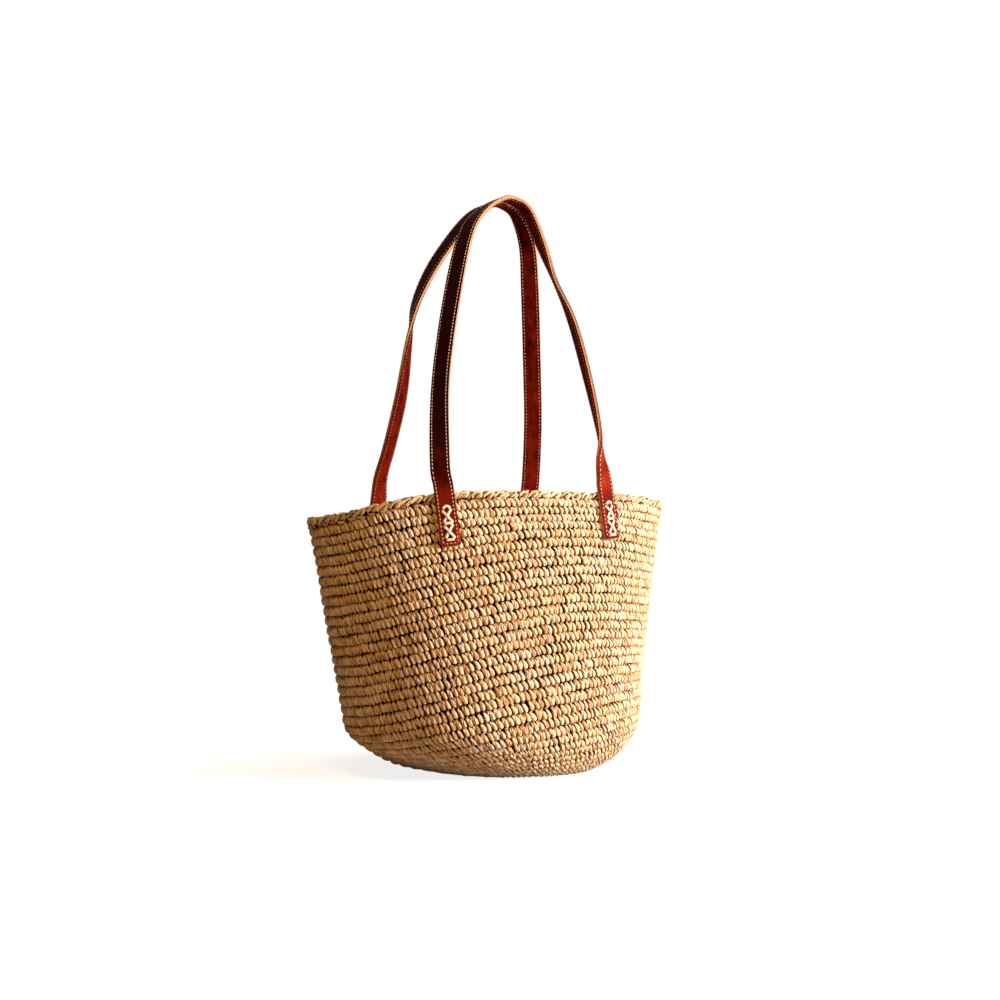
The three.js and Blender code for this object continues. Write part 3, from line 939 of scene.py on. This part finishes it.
def leatherFinish(kind):
    look = leather[kind]
    material, wire, shader = newFinish(kind + "Leather")
    place = attributeOf(wire, "leatherMap", 1)
    edge = attributeOf(wire, "rawEdge")
    fromTab = attributeOf(wire, "fromTab")
    sewn = attributeOf(wire, "sewn")
    mottle = place.scaled((0.07, 0.12, 0.1)).noise(1.0, 4.0, 0.6)
    stain = place.scaled((0.02, 0.03, 0.1)).noise(1.0, 2.0, 0.5)
    grain = place.noise(2.6, 3.0, 0.6)
    scratch = place.scaled((0.5, 3.2, 1.0)).noise(1.0, 2.0, 0.7).between(0.64, 0.74)
    worn = 1 - fromTab.between(leather["warmUntil"], leather["darkFrom"])
    level = mottle * look["mottle"] + stain * leather["stainShare"] + worn * look["warm"]
    level = level + scratch * leather["scratchShare"] + look["level"]
    along = wire.add("SeparateXYZ", {}, {0: place})
    # painted shade: the left leg is darkened, as turned from the light
    shadedLeg = look["shadedLeg"] * along.between(*leather["shadedLegFrom"])
    level = level - shadedLeg * along.between(*leather["shadedLegUntil"])
    shade = level.ramp(look["shades"])
    shade = wire.mix(sewn * leather["needleShare"], shade, leather["needleLine"])
    raw = place.scaled((0.35, 1.0, 2.4)).noise(1.0, 3.0, 0.6).ramp(leather["edge"])
    top = fromTab.between(*leather["edgeWornFrom"])
    bare = (edge + top * 0.4).between(0.5, 0.9)  # the dye is worn off the edges at the top of the handle
    shade = wire.mix(bare, shade, raw)
    bump = wire.add("Bump", {}, {
        "Strength": 0.25, "Distance": 0.0002, "Height": grain + mottle * 0.8 - scratch * 0.4})
    rough = look["roughness"] + mottle * 0.14 + edge * 0.2
    feed(shader, {"Base Color": shade, "Roughness": rough, "Normal": bump, "Specular IOR Level": 0.02})
    return material


# the gap colours are painted shade, where thread and cord go into the leather
threadLook = {"shades": [(0.0, tint(178, 106, 66)), (1.0, tint(240, 204, 182))], "gap": tint(70, 26, 14)}
cordLook = {"shades": [(0.0, tint(214, 190, 146)), (1.0, tint(248, 234, 202))], "gap": tint(150, 116, 74)}


def cordFinish(name, look, roughness):
    material, wire, shader = newFinish(name)
    fibre, tone, tuck = strandValues(wire)
    lay = fibre.scaled((1.4, 1.0, 0.3)).noise(1.0, 2.0, 0.5)
    shade = (tone * 0.5 + lay * 0.8 - 0.15).ramp(look["shades"])
    # painted shade where the strand goes out of sight
    shade = wire.mix(tuck * 0.7, shade, look["gap"])
    bump = wire.add("Bump", {}, {"Strength": 0.4, "Distance": 0.0003, "Height": lay})
    feed(shader, {"Base Color": shade, "Roughness": roughness + lay * 0.15, "Normal": bump})
    return material


outerLeather = leatherFinish("outer")
liningLeather = leatherFinish("lining")
threadCotton = cordFinish("waxedThread", threadLook, 0.5)
straps = {name: strapLine(name) for name in ("front", "back")}
for name, line in straps.items():
    body = name + "_handle"
    outer = strapLayer(line, strap["seam"] + strap["layerGap"], strap["thickness"])
    lining = strapLayer(line, 0.0, strap["seam"] - strap["layerGap"])
    made = [
        (addPiece(name + "_strap_outer", [outer], outerLeather), "outer", "leather"),
        (addPiece(name + "_strap_lining", [lining], liningLeather), "lining", "lining"),
        (addPiece(name + "_strap_thread", threadRows(line), threadCotton), None, "lacing_cord"),
    ]
    for piece, layer, slot in made:
        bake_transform(piece)
        if layer:
            tabs = [f"{name}_{hand}_tab_{layer}" for hand in ("left", "right")]
            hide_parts(f"{body}_{layer}", *tabs)
print("straps made:", [round(line["length"]) for line in straps.values()], "mm long")


# Lacing

lace = {
    "half": 1.2, "flat": 0.6, "sides": 12, "plies": 3, "plyTurn": 7.0, "plyDepth": 0.06, "steps": 26,
    "column": 3.55, "armReach": 4.3, "rows": 3, "rowPitch": 13.5,
    "bows": (2.0, 0.6, -0.4),  # how far up the bar of each row is pulled
    "front": 4.1, "holeDepth": 3.4, "behind": -8.9, "behindDepth": 3.2,
    "steep": 2.6, "shoulder": 0.6,  # how sharply the cord turns into its hole
    "overRise": 1.3, "overReach": 0.16,  # how one cord of a cross lies over the other
    # painted shade on the cord as it sinks into its holes, over this range of heights
    "tuck": (4.2, 2.2), "tones": (0.4, 1.0),
}


def laceRun(start, end, bow, height=0.0, behind=False):
    # one run of cord that comes out of a hole, lies on the leather and goes into the next hole
    t = np.linspace(0, 1, lace["steps"])
    x = start[0] + (end[0] - start[0]) * t
    y = start[1] + (end[1] - start[1]) * t + bow * np.sin(np.pi * t)
    rise = np.minimum(1, np.sin(np.pi * t) * lace["steep"]) ** lace["shoulder"]
    over = height * np.exp(-((t - 0.5) / lace["overReach"]) ** 2)
    sunk = lace["holeDepth"]
    if behind:
        z = lace["behind"] + lace["behindDepth"] * (1 - rise)
    else:
        z = lace["front"] - sunk + (sunk + lace["half"] * lace["flat"]) * rise + over
    return np.stack([x, y, z], -1)


def laceRuns(tab):
    column, reach = lace["column"], lace["armReach"]
    rows = [-tab["laceInset"] - i * lace["rowPitch"] for i in range(lace["rows"])]
    runs = []
    for i, row in enumerate(rows):
        runs.append(laceRun((-column, row), (column, row), lace["bows"][i]))
        runs.append(laceRun((-column, row), (column, row), 0.0, behind=True))
        if i + 1 < len(rows):
            low = rows[i + 1]  # sewn by hand, so not quite even
            runs.append(laceRun((reach, row - 0.3), (-reach, low + 1.0), 0.0))
            over = lace["overRise"]
            runs.append(laceRun((-reach - 0.2, row - 0.9), (reach + 0.3, low + 0.2), 0.0, over))
    return np.array(runs)


def addLacing(name, tab, place, finish):
    origin, up, out, across = place
    runs = laceRuns(tab)
    paths = origin + runs[..., :1] * across + runs[..., 1:2] * up + runs[..., 2:] * out
    normals = np.zeros_like(paths) + out
    half = np.full(paths.shape[:2], lace["half"])
    # painted shade where the cord sinks into its holes
    tuck = eased(*lace["tuck"], runs[..., 2]) * (runs[..., 2] > 0)
    tone = rng.uniform(*lace["tones"], len(runs))
    part = strands(paths, normals, half, half * lace["flat"], lace["sides"], tone, tuck)
    shape = part["points"].reshape(len(runs), lace["steps"], lace["sides"], 3)
    reach = part["values"]["fibre"].reshape(*shape.shape)[..., :1]
    turn = np.arange(lace["sides"]) / lace["sides"] * 2 * np.pi
    ridge = np.cos(lace["plies"] * turn[None, None, :, None] + reach * 2 * np.pi / lace["plyTurn"])
    shape = paths[:, :, None] + (shape - paths[:, :, None]) * (1 + lace["plyDepth"] * ridge)
    part["points"] = shape.reshape(-1, 3)
    return addPiece(name, [part], finish)


lacingCord = cordFinish("waxedCord", cordLook, 0.45)
for name, handle in handles.items():
    for side, hand in ((-1, "left"), (1, "right")):
        place = tabFrame(handle, side)
        piece = addLacing(f"{name}_{hand}_lacing_cord", handle[hand]["tab"], place, lacingCord)
        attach(piece, "bag")
        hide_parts(f"{name}_{hand}_lacing")
print("lacing made")


# Floor and light

studio = {
    "floorRadius": 4.0, "floorCorners": 64, "floorLevel": -0.0014, "floorColour": tint(196, 184, 168),
    "nearGlow": 0.84, "farGlow": 1.0, "glowFrom": 0.16, "glowTo": 0.38,
    "skyLight": (0.05, 0.026, 0.008, 1.0),  # warm, as if bounced off straw and wood
    "keyPower": 74.0, "keySize": 0.5, "keyPlace": (1.32, -1.39, 0.48), "keyColour": (0.93, 0.91, 1.0),
    "fillPower": 16.5, "fillSize": 0.4, "fillPlace": (-0.5, -0.95, 1.9), "fillColour": (1.0, 0.57, 0.15),
    "aim": (0.0, 0.0, 0.24),
}


def seenDirectly(wire):
    # 1 for what the camera or a reflection sees, 0 for light that falls on the object
    rays = [wire.add("LightPath", {}, {}, name)
            for name in ("Is Camera Ray", "Is Glossy Ray", "Is Transmission Ray")]
    return wire.sum("MAXIMUM", rays[0], wire.sum("MAXIMUM", rays[1], rays[2]))


def addFloor(settings):
    mesh = bpy.data.meshes.new("floor")
    angles = np.linspace(0, 2 * math.pi, settings["floorCorners"], endpoint=False)
    ring = [(settings["floorRadius"] * math.cos(a), settings["floorRadius"] * math.sin(a), 0) for a in angles]
    mesh.from_pydata(ring, [], [list(range(len(ring)))])
    floor = newObject("floor", mesh)
    floor.location.z = settings["floorLevel"]
    material, wire, shader = newFinish("palePaper")
    place = wire.add("TexCoord", {}, {}, "Object")
    far = wire.add("VectorMath", {"operation": "LENGTH"}, {0: place}, 1)
    spread = far.between(settings["glowFrom"], settings["glowTo"])
    glow = settings["nearGlow"] + spread * (settings["farGlow"] - settings["nearGlow"])
    feed(shader, {
        "Base Color": settings["floorColour"],
        "Roughness": 0.9,
        "Specular IOR Level": 0.0,
        "Emission Color": wire.mix(glow * seenDirectly(wire), (0, 0, 0, 1), (1, 1, 1, 1)),
        "Emission Strength": 1.0,
    })
    mesh.materials.append(material)


def addLamp(name, settings):
    data = bpy.data.lights.new(name + "Lamp", "AREA")
    data.energy = settings[name + "Power"]
    data.size = settings[name + "Size"]
    data.color = settings[name + "Colour"]
    lamp = newObject(name + "Lamp", data)
    lamp.location = settings[name + "Place"]
    lamp.rotation_euler = (Vector(settings["aim"]) - lamp.location).to_track_quat("-Z", "Y").to_euler()


def addSky(settings):
    world = bpy.data.worlds.new("whiteStudio")
    bpy.context.scene.world = world
    world.use_nodes = True
    wire = Wire(world.node_tree)
    colour = wire.mix(seenDirectly(wire), settings["skyLight"], (1, 1, 1, 1))
    feed(world.node_tree.nodes["Background"], {"Color": colour, "Strength": 1.0})


addFloor(studio)
addLamp("key", studio)
addLamp("fill", studio)
addSky(studio)
bpy.context.scene.view_settings.view_transform = "Standard"
print("studio set")
